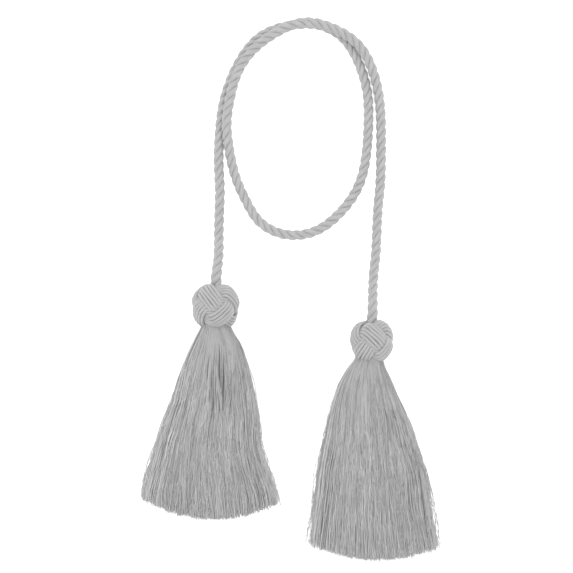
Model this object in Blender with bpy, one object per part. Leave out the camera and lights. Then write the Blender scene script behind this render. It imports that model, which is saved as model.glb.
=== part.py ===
"""A curtain tieback: one twisted rope with a woven ball knot and a tassel at each end.

It lies flat on a table at z = 0, its rope in a long loop. +Y points from the tassels to the top of the loop,
+X to the right and +Z up. Sizes and places are in millimetres, and MM turns them into Blender's metres.
"""

from collections import namedtuple

import bmesh
import bpy
import numpy as np
from mathutils.geometry import delaunay_2d_cdt

MM = 0.001
GAP = 0.3  # between pieces that touch
SEED = 7

# Rope: three strands, laid right-handed.
ROPE_DIAMETER = 5.5
ROPE_LAY = 16.0  # one full turn of a strand
ROPE_STEPS_PER_LAY = 6
ROPE_REST = 2.8  # height of its centreline where it lies on the table
ROPE_STRANDS = 3
ROPE_FINE_STEPS = 4000  # places that measure its length
# A strand's outline: degrees on from its groove, and the share of the rope's radius.
StrandPoint = namedtuple("StrandPoint", "turn radius")
STRAND_PROFILE = (
    StrandPoint(turn=0, radius=0.62),
    StrandPoint(turn=41, radius=0.98),
    StrandPoint(turn=79, radius=0.98),
)
# The centreline, from the left knot up, round the loop, over itself and down to the right knot.
ROPE_ROUTE = (
    (-43.6, 80.2, 12.2),
    (-43.1, 86.8, 11.4),
    (-42.2, 95.5, 7.6),
    (-42.1, 105.4, 3.9),
    (-42.0, 118.7, 2.8),
    (-41.6, 136.0, 2.8),
    (-42.3, 150.5, 2.8),
    (-41.9, 165.7, 2.8),
    (-39.9, 183.7, 2.8),
    (-35.1, 199.7, 2.8),
    (-28.4, 212.9, 2.8),
    (-17.4, 225.0, 2.8),
    (-1.5, 230.9, 2.8),
    (15.5, 231.5, 2.8),
    (30.5, 223.4, 2.8),
    (39.3, 209.1, 2.8),
    (43.8, 194.7, 2.8),
    (45.0, 176.7, 2.8),
    (43.8, 157.0, 2.8),
    (39.2, 137.6, 2.8),
    (28.6, 122.1, 2.8),
    (15.2, 111.8, 2.8),
    (-1.3, 109.0, 2.8),
    (-19.6, 118.0, 2.8),
    (-25.6, 127.6, 2.8),
    (-31.2, 139.6, 2.8),
    (-36.1, 159.3, 5.0),
    (-37.4, 173.8, 7.9),
    (-35.4, 188.2, 8.6),
    (-31.0, 203.2, 8.8),
    (-22.0, 216.2, 8.8),
    (-8.9, 226.1, 8.8),
    (7.4, 232.1, 8.8),
    (24.3, 228.7, 8.7),
    (38.9, 219.3, 7.7),
    (47.4, 204.4, 5.8),
    (51.6, 186.0, 3.6),
    (52.4, 158.2, 2.8),
    (52.1, 141.9, 2.8),
    (50.2, 118.7, 2.8),
    (49.4, 100.0, 3.0),
    (47.9, 84.5, 4.6),
    (47.2, 69.4, 10.2),
    (46.9, 59.8, 10.9),
)

# Knots: a Turk's head of three leads and four bights, each band several cords wide, tied round a ball.
KNOT_LEADS = 3
KNOT_BIGHTS = 4
KNOT_CORD = 1.85  # diameter of one cord of a band
KNOT_BAND_CORDS = 6
KNOT_WEAVE_DEPTH = 2.9  # how far a band dives from over to under
KNOT_WEAVE_PLATEAU = 1.5  # over 1, a band stays level at its crossings
KNOT_RIDGE = 0.92  # a cord's crest above the band's middle
KNOT_GROOVE = 0.25  # the groove between two cords, above the same
KNOT_EDGE = -0.5  # the band's edge, below it
KNOT_HOLLOW_DEPTH = 3.6  # the ball's core below its surface, between the bands
KNOT_HALF_BAND = KNOT_CORD * KNOT_BAND_CORDS / 2
KNOT_BAND_SQUARENESS = 6  # how flat the band is across before its edges turn down
KNOT_FINE_STEPS = 2000  # places that measure the band's length
KNOT_STEPS = 200  # places along it where its cords have points
KNOT_COVER_STEPS = 5  # places to each of those, that tell what a band covers
KNOT_SPACING = 0.78  # the least room between two points
KNOT_HOLLOW_SPACING = 1.1
KNOT_HOLLOW_TRIES = 1500
KNOT_POLE_CAP = 16  # degrees round each pole that stay smooth, where rope and neck are seated
KNOT_SEAT_SIDES = 12
KNOT_SEAT_SLOPE = 16  # degrees over which a seat falls away to the depth of the hollows
KNOT_REST_FLAT = 1.4  # how much the ball is pressed flat where it rests

# Tassels: a skirt's left, right and top, and the height of its underside, on the way down from the knot.
Section = namedtuple("Section", "down left right top under")
SKIRT_ROWS_LEFT = (
    Section(down=14.2, left=-9.6, right=9.4, top=20.6, under=4.6),
    Section(down=17.4, left=-11.6, right=12.1, top=20.7, under=3.7),
    Section(down=22.0, left=-14.0, right=15.2, top=20.4, under=2.0),
    Section(down=31.0, left=-18.4, right=18.0, top=19.0, under=0.0),
    Section(down=42.0, left=-22.2, right=20.9, top=17.0, under=0.0),
    Section(down=56.0, left=-26.2, right=23.2, top=15.0, under=0.0),
    Section(down=66.0, left=-30.4, right=25.0, top=13.8, under=0.0),
    Section(down=80.0, left=-35.6, right=27.0, top=12.4, under=0.0),
    Section(down=94.0, left=-40.0, right=31.4, top=11.2, under=0.0),
    Section(down=108.0, left=-43.9, right=36.5, top=10.0, under=0.0),
    Section(down=123.0, left=-45.5, right=38.5, top=9.0, under=0.0),
)
SKIRT_ROWS_RIGHT = (
    Section(down=13.4, left=-12.8, right=7.2, top=18.9, under=3.9),
    Section(down=17.0, left=-15.2, right=8.8, top=19.2, under=3.0),
    Section(down=21.0, left=-17.2, right=11.2, top=19.2, under=1.6),
    Section(down=28.0, left=-20.6, right=14.2, top=18.2, under=0.0),
    Section(down=42.0, left=-24.8, right=20.4, top=16.2, under=0.0),
    Section(down=56.0, left=-27.6, right=25.8, top=14.6, under=0.0),
    Section(down=77.0, left=-31.6, right=32.4, top=12.6, under=0.0),
    Section(down=98.0, left=-34.6, right=36.8, top=11.0, under=0.0),
    Section(down=118.0, left=-37.2, right=41.0, top=9.6, under=0.0),
    Section(down=131.0, left=-38.2, right=42.2, top=9.0, under=0.0),
)
NECK_RADIUS = 7.2  # where the skirt's neck cups the knot
NECK_DISH_RADIUS = 4.0  # a ring inside that rim
NECK_ROWS = 1  # the first rows of a skirt's table, which are its neck
NECK_SIDES = 48
NECK_FLUTE = 0.28  # how far the bound threads stand out and in round the neck
NECK_SQUARENESS = 2.6  # 2 is an ellipse
LOCKS_PER_LAYER = (26, 25, 22, 18, 12)  # from the table up
LOCK_STEPS = (0.0, 0.17, 0.42, 0.72, 1.0)  # places along a lock, as shares of its length
LOCK_FILL_ACROSS = 0.76  # share of its own strip that a lock fills
LOCK_FILL_UP = 0.78  # share of its own layer that a lock fills
LOCK_TIP_WIDTH = 0.6  # share of its width that a lock keeps at its tip
LOCK_TIP_POWER = 4  # how late it narrows
LOCK_SWAY = 0.09  # sideways waviness, as a share of the strip
LOCK_RAGGED = 2.6  # how much a lock's end wanders
LAYER_SET_BACK = 0.7  # how much shorter each layer is than the one below it
ROOT_MARGIN = 0.94  # share of the neck's end that the roots cover
CDT_INSIDE = 1  # the triangulation's mode that keeps only what its outlines hold
CDT_SAME_POINT = 1e-6

Tassel = namedtuple("Tassel", "side centre width height turn tilt lean reach neck_shift rows hem hem_arc hem_lean")
TASSELS = (
    Tassel(
        side="left",
        centre=(-43.7, 67.7),
        width=27.1,
        height=24.4,
        turn=27.6,  # of the weave, about the ball's own axis
        tilt=2.6,  # of that axis away from the rope's, the front of the ball upwards
        lean=-2.5,  # of it, to the left
        reach=47,  # degrees of latitude that the middle of the band swings to
        neck_shift=0.0,
        rows=SKIRT_ROWS_LEFT,
        hem=123.0,
        hem_arc=8.6,
        hem_lean=0.0,
    ),
    Tassel(
        side="right",
        centre=(46.6, 47.4),
        width=24.5,
        height=24.1,
        turn=53.6,
        tilt=-10.0,
        lean=4.4,
        reach=50,
        neck_shift=-2.0,
        rows=SKIRT_ROWS_RIGHT,
        hem=127.7,
        hem_arc=6.6,
        hem_lean=1.0,
    ),
)

Finish = namedtuple("Finish", "red green blue roughness metallic")
ROPE_FINISH = Finish(red=0.56, green=0.56, blue=0.56, roughness=0.5, metallic=0.0)
KNOT_FINISH = Finish(red=0.52, green=0.52, blue=0.52, roughness=0.5, metallic=0.0)
SKIRT_FINISH = Finish(red=0.43, green=0.43, blue=0.43, roughness=0.6, metallic=0.0)


def clear_scene():
    for obj in list(bpy.data.objects):
        bpy.data.objects.remove(obj, do_unlink=True)


def material(name, finish):
    """A plain Principled material."""
    made = bpy.data.materials.new(name)
    made.use_nodes = True
    shader = made.node_tree.nodes["Principled BSDF"]
    shader.inputs["Base Color"].default_value = (finish.red, finish.green, finish.blue, 1.0)
    shader.inputs["Roughness"].default_value = finish.roughness
    shader.inputs["Metallic"].default_value = finish.metallic
    return made


def add_object(name, points, faces, surface):
    """A closed mesh from points in millimetres, with its faces turned outwards."""
    built = bmesh.new()
    corners = [built.verts.new(point * MM) for point in np.asarray(points, float)]
    for face in faces:
        built.faces.new([corners[i] for i in face])
    bmesh.ops.recalc_face_normals(built, faces=built.faces)
    mesh = bpy.data.meshes.new(name)
    built.to_mesh(mesh)
    built.free()
    mesh.materials.append(surface)
    obj = bpy.data.objects.new(name, mesh)
    bpy.context.scene.collection.objects.link(obj)
    return obj


def bridge(first, second):
    """Quads between two rings of point numbers."""
    count = len(first)
    return [
        (first[i], first[(i + 1) % count], second[(i + 1) % count], second[i]) for i in range(count)
    ]


# Rope


def smooth_route(route, count):
    """Points on a natural cubic spline through the route."""
    knots = np.array(route, float)
    spans = np.linalg.norm(np.diff(knots, axis=0), axis=1)
    reach = np.concatenate([[0.0], np.cumsum(spans)])
    last = len(knots) - 1
    system = np.eye(last + 1)
    right_side = np.zeros((last + 1, 3))
    for i in range(1, last):
        system[i, i - 1 : i + 2] = (spans[i - 1], 2 * (spans[i - 1] + spans[i]), spans[i])
        ahead = (knots[i + 1] - knots[i]) / spans[i]
        behind = (knots[i] - knots[i - 1]) / spans[i - 1]
        right_side[i] = 6 * (ahead - behind)
    bends = np.linalg.solve(system, right_side)
    along = np.linspace(0.0, reach[-1], count)
    span = np.clip(np.searchsorted(reach, along) - 1, 0, last - 1)
    width = spans[span][:, None]
    after = (along - reach[span])[:, None] / width
    before = 1 - after
    lift = ((before**3 - before) * bends[span] + (after**3 - after) * bends[span + 1]) * width**2 / 6
    return before * knots[span] + after * knots[span + 1] + lift


def even_steps(line, count):
    """The same line at equal steps of length."""
    reach = np.concatenate([[0.0], np.cumsum(np.linalg.norm(np.diff(line, axis=0), axis=1))])
    wanted = np.linspace(0.0, reach[-1], count)
    return np.stack([np.interp(wanted, reach, line[:, axis]) for axis in range(3)], axis=1)


def unit(vector):
    return vector / np.linalg.norm(vector)


def carried_frames(line):
    """Two directions square to the line at each point, carried along it without turning."""
    tangents = np.gradient(line, axis=0)
    side = unit(np.cross(tangents[0], (0.0, 0.0, 1.0)))
    frames = []
    for tangent in tangents:
        tangent = unit(tangent)
        side = unit(side - tangent * side.dot(tangent))
        frames.append((side, np.cross(tangent, side)))
    return frames


def make_rope(surface):
    fine = smooth_route(ROPE_ROUTE, ROPE_FINE_STEPS)
    fine[:, 2] = np.maximum(fine[:, 2], ROPE_REST)
    length = np.linalg.norm(np.diff(fine, axis=0), axis=1).sum()
    rings = round(length / ROPE_LAY * ROPE_STEPS_PER_LAY) + 1
    line = even_steps(fine, rings)
    turns = [
        np.radians(360 / ROPE_STRANDS * strand + point.turn)
        for strand in range(ROPE_STRANDS)
        for point in STRAND_PROFILE
    ]
    radii = [ROPE_DIAMETER / 2 * point.radius for _ in range(ROPE_STRANDS) for point in STRAND_PROFILE]
    points = []
    for i, (centre, (side, rise)) in enumerate(zip(line, carried_frames(line))):
        twist = 2 * np.pi * i / ROPE_STEPS_PER_LAY
        for turn, radius in zip(turns, radii):
            points.append(centre + radius * (np.cos(turn + twist) * side + np.sin(turn + twist) * rise))
    sides = len(turns)
    rows = [range(i * sides, (i + 1) * sides) for i in range(rings)]
    faces = [face for i in range(rings - 1) for face in bridge(rows[i], rows[i + 1])]
    faces += [tuple(rows[0]), tuple(rows[-1])]
    return add_object("rope", points, faces, surface)


# Knots


def band_place(steps, tassel):
    """The middle of the band, as directions from the ball's centre."""
    latitude = np.radians(tassel.reach) * np.cos(KNOT_BIGHTS * steps)
    azimuth = np.radians(tassel.turn) - KNOT_LEADS * steps
    x, y, z = np.cos(latitude) * np.sin(azimuth), np.sin(latitude), np.cos(latitude) * np.cos(azimuth)
    c, s = np.cos(np.radians(tassel.tilt)), np.sin(np.radians(tassel.tilt))
    y, z = y * c + z * s, z * c - y * s
    c, s = np.cos(np.radians(tassel.lean)), np.sin(np.radians(tassel.lean))
    return np.stack([x * c - y * s, x * s + y * c, z], axis=1)


def knot_path(tassel, count):
    """The band's middle at even steps, the direction across it, and 1 where it runs over to -1 under."""
    fine = np.linspace(0.0, 2 * np.pi, KNOT_FINE_STEPS)
    strides = np.linalg.norm(np.diff(band_place(fine, tassel), axis=0), axis=1)
    reach = np.concatenate([[0.0], np.cumsum(strides)])
    steps = np.interp(np.linspace(0.0, reach[-1], count, endpoint=False), reach, fine)
    middle = band_place(steps, tassel)
    aside = np.cross(middle, np.roll(middle, -1, axis=0) - np.roll(middle, 1, axis=0))
    aside /= np.linalg.norm(aside, axis=1)[:, None]
    crossings = sorted(
        (np.pi * m / KNOT_BIGHTS + np.pi * k / KNOT_LEADS) % (2 * np.pi)
        for m in range(2 * KNOT_BIGHTS)
        for k in range(1, KNOT_LEADS)
    )
    places = np.array([crossings[-1] - 2 * np.pi] + crossings + [crossings[0] + 2 * np.pi])
    phase = np.interp(steps, places, np.arange(len(places)))
    over = np.clip(KNOT_WEAVE_PLATEAU * np.cos(np.pi * phase), -1, 1)
    return middle, aside, over


def band_depth(radius, over):
    return radius - KNOT_CORD / 2 - KNOT_WEAVE_DEPTH * (1 - over) / 2


def distances(first, second):
    """The distance along the unit ball between each direction of one set and each of the other."""
    return np.arccos(np.clip(first @ second.T, -1, 1))


def woven_points(radius, tassel):
    """The cords' ridges and grooves that show on the ball, as directions and distances from its centre."""
    middle, aside, over = knot_path(tassel, KNOT_STEPS)
    directions = []
    heights = []
    for line in range(2 * KNOT_BAND_CORDS + 1):
        off = (line * KNOT_CORD / 2 - KNOT_HALF_BAND) / radius
        directions.append(middle * np.cos(off) + aside * np.sin(off))
        at_edge = line in (0, 2 * KNOT_BAND_CORDS)
        rise = KNOT_RIDGE if line % 2 else KNOT_EDGE if at_edge else KNOT_GROOVE
        heights.append(band_depth(radius, over) + rise)
    directions = np.concatenate(directions)
    heights = np.concatenate(heights)
    lane, _, lane_over = knot_path(tassel, KNOT_STEPS * KNOT_COVER_STEPS)
    across = radius * distances(directions, lane) / KNOT_HALF_BAND
    own = np.tile(np.arange(KNOT_STEPS), 2 * KNOT_BAND_CORDS + 1) * KNOT_COVER_STEPS
    apart = np.abs(own[:, None] - np.arange(len(lane)))
    other = np.minimum(apart, len(lane) - apart) > len(lane) // (4 * KNOT_BIGHTS)
    crown = np.sqrt(np.clip(1 - across**KNOT_BAND_SQUARENESS, 0, 1))
    cover = band_depth(radius, lane_over) + KNOT_CORD / 2 * crown
    hidden = (other & (across < 1) & (cover > heights[:, None])).any(axis=1)
    return directions[~hidden], heights[~hidden]


def hollow_points(radius, tassel):
    """Directions spread over the parts of the ball that no band covers."""
    places = np.arange(KNOT_HOLLOW_TRIES) + 0.5
    level = 1 - 2 * places / KNOT_HOLLOW_TRIES
    ring = np.sqrt(1 - level**2)
    round_axis = places * np.pi * (3 - np.sqrt(5))
    spread = np.stack([ring * np.sin(round_axis), level, ring * np.cos(round_axis)], axis=1)
    lane, _, _ = knot_path(tassel, KNOT_STEPS * KNOT_COVER_STEPS)
    return spread[radius * distances(spread, lane).min(axis=1) > KNOT_HALF_BAND + KNOT_HOLLOW_SPACING]


def seated(directions, heights, radius):
    """The heights, raised near the poles so that each seat slopes down to what is round it."""
    polar = np.degrees(np.arccos(np.clip(np.abs(directions[:, 1]), 0, 1)))
    fall = np.clip((polar - KNOT_POLE_CAP) / KNOT_SEAT_SLOPE, 0, 1)
    return np.maximum(heights, radius - KNOT_HOLLOW_DEPTH * fall)


def spaced(directions, heights, radius, spacing, kept):
    """Adds to kept, (direction, height) pairs, each point that has room, the highest first."""
    for i in np.argsort(-heights, kind="stable"):
        near = np.array([direction for direction, _ in kept]) if kept else np.empty((0, 3))
        if not (radius * distances(directions[i : i + 1], near) < spacing).any():
            kept.append((directions[i], heights[i]))


def knot_points(tassel):
    """Points all over the woven ball: its poles' seats, the cords, and the hollows between the bands."""
    radius = tassel.width / 2
    cap = np.radians(KNOT_POLE_CAP)
    kept = []
    for pole in (-1.0, 1.0):
        kept.append((np.array((0.0, pole, 0.0)), radius))
        for turn in np.linspace(0.0, 2 * np.pi, KNOT_SEAT_SIDES, endpoint=False):
            rim = (np.sin(cap) * np.sin(turn), pole * np.cos(cap), np.sin(cap) * np.cos(turn))
            kept.append((np.array(rim), radius))
    directions, heights = woven_points(radius, tassel)
    clear = np.abs(directions[:, 1]) < np.cos(cap + KNOT_SPACING / radius)
    heights = seated(directions, heights, radius)
    spaced(directions[clear], heights[clear], radius, KNOT_SPACING, kept)
    spread = hollow_points(radius, tassel)
    spread = spread[np.abs(spread[:, 1]) < np.cos(cap + KNOT_SPACING / radius)]
    floor = np.full(len(spread), radius - KNOT_HOLLOW_DEPTH)
    spaced(spread, seated(spread, floor, radius), radius, KNOT_HOLLOW_SPACING, kept)
    return kept


def make_knot(tassel, surface):
    kept = knot_points(tassel)
    hull = bmesh.new()
    for direction, _ in kept:
        hull.verts.new(direction)
    bmesh.ops.convex_hull(hull, input=hull.verts)
    bmesh.ops.triangulate(hull, faces=hull.faces)
    hull.verts.index_update()
    faces = [tuple(vert.index for vert in face.verts) for face in hull.faces]
    hull.free()
    points = np.array([direction * height for direction, height in kept])
    points[:, 1] = np.clip(points[:, 1], -tassel.height / 2, tassel.height / 2)
    points += (*tassel.centre, knot_axis(tassel))
    points[:, 2] = np.maximum(points[:, 2], 0.0)
    return add_object(f"knot_{tassel.side}", points, faces, surface)


# Skirts


def knot_axis(tassel):
    """The height of the knot's axis over the table."""
    return tassel.width / 2 - KNOT_REST_FLAT


def section_at(tassel, down):
    rows = tassel.rows
    places = [row.down for row in rows]
    sizes = [np.interp(down, places, [getattr(row, field) for row in rows]) for field in Section._fields[1:]]
    return Section(down, *sizes)


def neck_ring(middle, across, up):
    """A fluted oval of (x, z) points round the neck, from its middle and half sizes."""
    points = []
    for i in range(NECK_SIDES):
        turn = 2 * np.pi * i / NECK_SIDES
        c, s = np.cos(turn), np.sin(turn)
        reach = (abs(c) ** NECK_SQUARENESS + abs(s) ** NECK_SQUARENESS) ** (-1 / NECK_SQUARENESS)
        flute = NECK_FLUTE * (-1) ** i
        points.append((middle[0] + (across + flute) * reach * c, middle[1] + (up + flute) * reach * s))
    return points


def cup_depth(tassel, x, z):
    """How far below the knot's centre its cup lies, at x from that centre and z over the table."""
    off = np.hypot(x, z - knot_axis(tassel))
    ball = np.sqrt((tassel.width / 2 + GAP) ** 2 - off**2)
    return min(ball, tassel.height / 2 + GAP)


def make_neck(tassel):
    """The neck from its cup down to its end, as points and faces, with the last ring's point numbers."""
    axis = (tassel.neck_shift, knot_axis(tassel))
    rings = [
        [(x, cup_depth(tassel, x, z), z) for x, z in neck_ring(axis, radius, radius)]
        for radius in (NECK_DISH_RADIUS, NECK_RADIUS)
    ]
    for row in tassel.rows[:NECK_ROWS]:
        middle = ((row.right + row.left) / 2, (row.top + row.under) / 2)
        oval = neck_ring(middle, (row.right - row.left) / 2, (row.top - row.under) / 2)
        rings.append([(x, row.down, z) for x, z in oval])
    places = [(axis[0], cup_depth(tassel, *axis), axis[1])]
    rows = []
    for ring in rings:
        rows.append(range(len(places), len(places) + NECK_SIDES))
        places += ring
    points = [(tassel.centre[0] + x, tassel.centre[1] - down, z) for x, down, z in places]
    faces = [(0, rows[0][i], rows[0][(i + 1) % NECK_SIDES]) for i in range(NECK_SIDES)]
    for upper, lower in zip(rows, rows[1:]):
        faces += bridge(upper, lower)
    return points, faces, rows[-1]


def layer_width(layer, along):
    """The share of the skirt's width that a layer spans: a round neck at its root, a dome further down."""
    layers = len(LOCKS_PER_LAYER)
    outer = abs(2 * layer + 1 - layers) / layers + LOCK_FILL_UP / layers
    at_root = ROOT_MARGIN * (1 - outer**NECK_SQUARENESS) ** (1 / NECK_SQUARENESS)
    at_hem = np.sqrt(1 - ((layer + 0.5) / layers) ** 2)
    return at_root + (at_hem - at_root) * min(1.0, along / LOCK_STEPS[2])


def lock_rings(tassel, layer, column, rng):
    """One lock's three-cornered sections from root to tip."""
    count = LOCKS_PER_LAYER[layer]
    layers = len(LOCKS_PER_LAYER)
    place = (2 * column + 1) / count - 1
    root = tassel.rows[NECK_ROWS - 1].down
    spread = layer_width(layer, 1.0) * place
    end = tassel.hem - tassel.hem_arc * spread**2 + tassel.hem_lean * spread
    end -= LAYER_SET_BACK * layer + LOCK_RAGGED * rng.random()
    sway = rng.uniform(-LOCK_SWAY, LOCK_SWAY, len(LOCK_STEPS))
    sway[0] = 0.0
    rings = []
    for along, aside in zip(LOCK_STEPS, sway):
        down = root + along * (end - root)
        section = section_at(tassel, down)
        half = (section.right - section.left) / 2 * layer_width(layer, along)
        strip = 2 * half / count
        middle = (section.right + section.left) / 2 + half * place + aside * strip
        across = strip / 2 * LOCK_FILL_ACROSS * (1 - (1 - LOCK_TIP_WIDTH) * along**LOCK_TIP_POWER)
        depth = section.top - section.under
        low = section.under + depth * layer / layers
        high = low + depth / layers * LOCK_FILL_UP
        if along == 0.0:
            axis = (section.top + section.under) / 2
            centring = depth / layers * (1 - LOCK_FILL_UP) / 2
            low = axis + (low + centring - axis) * ROOT_MARGIN
            high = axis + (high + centring - axis) * ROOT_MARGIN
        x = tassel.centre[0] + middle
        y = tassel.centre[1] - down
        rings.append(((x - across, y, low), (x + across, y, low), (x, y, high)))
    return rings


def fill_neck_end(points, outline, roots):
    """Triangles that close the neck's end round the roots of the locks."""
    flat = [(points[i][0], points[i][2]) for i in outline]
    numbers = list(outline)
    patches = [list(range(len(outline)))]
    for root in roots:
        patches.append(list(range(len(flat), len(flat) + 3)))
        flat += [(points[i][0], points[i][2]) for i in root]
        numbers += root
    filled = delaunay_2d_cdt(flat, [], patches, CDT_INSIDE, CDT_SAME_POINT)
    _, _, cells, from_points, _, from_patches = filled
    return [
        tuple(numbers[from_points[corner][0]] for corner in cell)
        for cell, patch in zip(cells, from_patches)
        if patch == [0]
    ]


def make_skirt(tassel, surface, rng):
    points, faces, outline = make_neck(tassel)
    roots = []
    for layer, count in enumerate(LOCKS_PER_LAYER):
        for column in range(count):
            rings = lock_rings(tassel, layer, column, rng)
            rows = []
            for ring in rings:
                rows.append(list(range(len(points), len(points) + 3)))
                points += ring
            for upper, lower in zip(rows, rows[1:]):
                faces += bridge(upper, lower)
            faces.append(tuple(rows[-1]))
            roots.append(rows[0])
    faces += fill_neck_end(points, outline, roots)
    return add_object(f"skirt_{tassel.side}", points, faces, surface)


def main():
    clear_scene()
    rng = np.random.default_rng(SEED)
    make_rope(material("rope_yarn", ROPE_FINISH))
    for tassel in TASSELS:
        make_knot(tassel, material(f"knot_{tassel.side}_cord", KNOT_FINISH))
        make_skirt(tassel, material(f"skirt_{tassel.side}_thread", SKIRT_FINISH), rng)


main()
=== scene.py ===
# %% [markdown]
# A rope tieback for a curtain, laid out flat: one twisted rope in a long loop, and at each end a woven ball
# knot with a full tassel under it. The whole thing is soft, so every solid of the frame is replaced by real
# fibres here: strands that twist round each other, cords that weave over and under, and many fine threads.

# %% Load the frame
import math
from collections import namedtuple

import bpy
import numpy as np
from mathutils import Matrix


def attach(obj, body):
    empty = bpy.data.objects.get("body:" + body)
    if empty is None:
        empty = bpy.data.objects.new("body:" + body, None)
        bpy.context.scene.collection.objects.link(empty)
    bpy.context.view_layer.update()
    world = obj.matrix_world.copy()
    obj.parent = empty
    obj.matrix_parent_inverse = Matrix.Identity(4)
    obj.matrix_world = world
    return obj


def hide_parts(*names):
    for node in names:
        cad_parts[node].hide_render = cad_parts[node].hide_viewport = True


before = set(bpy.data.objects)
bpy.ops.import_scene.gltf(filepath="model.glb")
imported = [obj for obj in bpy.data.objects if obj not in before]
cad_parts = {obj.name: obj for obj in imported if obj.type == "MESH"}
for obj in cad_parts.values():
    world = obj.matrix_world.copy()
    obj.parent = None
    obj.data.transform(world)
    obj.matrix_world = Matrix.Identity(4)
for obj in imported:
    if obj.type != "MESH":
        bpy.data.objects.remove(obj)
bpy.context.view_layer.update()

MM = 0.001
print("nodes:", sorted(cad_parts))

# %% [markdown]
# The camera comes first, because the cords are judged by what it sees. The tieback lies on a white table
# and is seen from straight above. A short lens would show the knots and the rope near the edges from the
# side, and an orthographic camera has no lens at all. A long lens lies between: hardly anything leans
# outwards, but what stands nearer is still a touch larger.

# %% Camera
VIEW_CENTRE = (-2.73 * MM, 79.0 * MM)
VIEW_WIDTH = 332.3 * MM
VIEW_PLANE = 8.0 * MM  # the height over the table where that width is true
LENS = 120.0
SENSOR = 36.0

camera_data = bpy.data.cameras.new("camera")
camera_data.lens = LENS
camera_data.sensor_width = SENSOR
camera = bpy.data.objects.new("camera", camera_data)
camera.location = (*VIEW_CENTRE, VIEW_PLANE + VIEW_WIDTH * LENS / SENSOR)
bpy.context.scene.collection.objects.link(camera)
bpy.context.scene.camera = camera
print("camera height:", round(camera.location.z, 3), "m")

# %% [markdown]
# The light is that of a white tent: the same from everywhere, with one large soft lamp above to give the
# fibres a highlight along their backs. A small lamp would throw hard shadows across the threads.

# %% Light
SKY_STRENGTH = 1.0
LAMP_POWER = 6.0
LAMP_SIZE = 1.8
LAMP_PLACE = (0.0, 0.42, 1.4)
LAMP_AIM = 0.08  # the place on the table's middle line that the lamp points at

world = bpy.data.worlds.new("tent")
world.use_nodes = True
sky = world.node_tree.nodes["Background"]
sky.inputs["Color"].default_value = (1.0, 1.0, 1.0, 1.0)
sky.inputs["Strength"].default_value = SKY_STRENGTH
bpy.context.scene.world = world
bpy.context.scene.view_settings.view_transform = "Standard"

lamp_data = bpy.data.lights.new("lamp", "AREA")
lamp_data.energy = LAMP_POWER
lamp_data.size = LAMP_SIZE
lamp = bpy.data.objects.new("lamp", lamp_data)
lamp.location = LAMP_PLACE
lamp.rotation_euler = (-math.atan2(LAMP_PLACE[1] - LAMP_AIM, LAMP_PLACE[2]), 0.0, 0.0)
bpy.context.scene.collection.objects.link(lamp)
print("lamp leans", round(-math.degrees(lamp.rotation_euler.x), 1), "degrees")

# %% [markdown]
# The table is a lit panel, as for catalogue pictures: it glows a little by itself, which keeps it white
# under the object and lights the fibres from below. It is stage, not part of the object.

# %% Table
TABLE_WHITE = 0.90
TABLE_GLOW = 0.55
TABLE_ROUGHNESS = 0.9
TABLE_SIZE = 3.0

table_mesh = bpy.data.meshes.new("table")
half = TABLE_SIZE / 2
corners = [(-half, -half, 0), (half, -half, 0), (half, half, 0), (-half, half, 0)]
table_mesh.from_pydata(corners, [], [(0, 1, 2, 3)])
table = bpy.data.objects.new("table", table_mesh)
bpy.context.scene.collection.objects.link(table)

table_paint = bpy.data.materials.new("white_table")
table_paint.use_nodes = True
table_shader = table_paint.node_tree.nodes["Principled BSDF"]
table_shader.inputs["Base Color"].default_value = (TABLE_WHITE, TABLE_WHITE, TABLE_WHITE, 1.0)
table_shader.inputs["Roughness"].default_value = TABLE_ROUGHNESS
table_shader.inputs["Specular IOR Level"].default_value = 0.0
table_shader.inputs["Emission Color"].default_value = (1.0, 1.0, 1.0, 1.0)
table_shader.inputs["Emission Strength"].default_value = TABLE_GLOW
table_mesh.materials.append(table_paint)
print("table:", TABLE_SIZE, "m wide")

# %% [markdown]
# Node trees are built with a few small helpers. The first adds a node, sets its properties, and fills each
# named input either with a value or with a link from another node's output. Nodes can be placed by hand in
# the editor too, but a script shows the whole tree in reading order.


# %% Helpers for nodes
def add(tree, kind, inputs=None, **settings):
    node = tree.nodes.new(kind)
    for name, value in settings.items():
        setattr(node, name, value)
    for name, value in (inputs or {}).items():
        if isinstance(value, bpy.types.NodeSocket):
            tree.links.new(value, node.inputs[name])
        else:
            node.inputs[name].default_value = value
    return node


def maths(tree, operation, first, second=0.0):
    return add(tree, "ShaderNodeMath", {0: first, 1: second}, operation=operation).outputs[0]


def vectors(tree, operation, first, second):
    return add(tree, "ShaderNodeVectorMath", {0: first, 1: second}, operation=operation).outputs[0]


def scaled(tree, vector, scale):
    settings = {0: vector, "Scale": scale}
    return add(tree, "ShaderNodeVectorMath", settings, operation="SCALE").outputs[0]


def new_tree(kind, name, inputs, outputs):
    """A node group with named sockets, its inputs' sockets by name, and its output node."""
    tree = bpy.data.node_groups.new(name, kind)
    for label, socket_type, default in inputs:
        socket = tree.interface.new_socket(label, in_out="INPUT", socket_type=socket_type)
        if default is not None:
            socket.default_value = default
    for label, socket_type in outputs:
        tree.interface.new_socket(label, in_out="OUTPUT", socket_type=socket_type)
    entry = tree.nodes.new("NodeGroupInput")
    return tree, entry.outputs, tree.nodes.new("NodeGroupOutput")


print("helpers ready")

# %% [markdown]
# All three yarns are the same lustrous artificial silk: fine straight filaments lying side by side. The
# sweep that makes each tube writes an attribute, fibre_space, which holds a point's place in the tube as if
# it were pulled straight. Noise that is stretched along it gives filaments that follow every twist, which a
# pattern on the object's own coordinates could not do. One group serves all three yarns.

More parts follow.
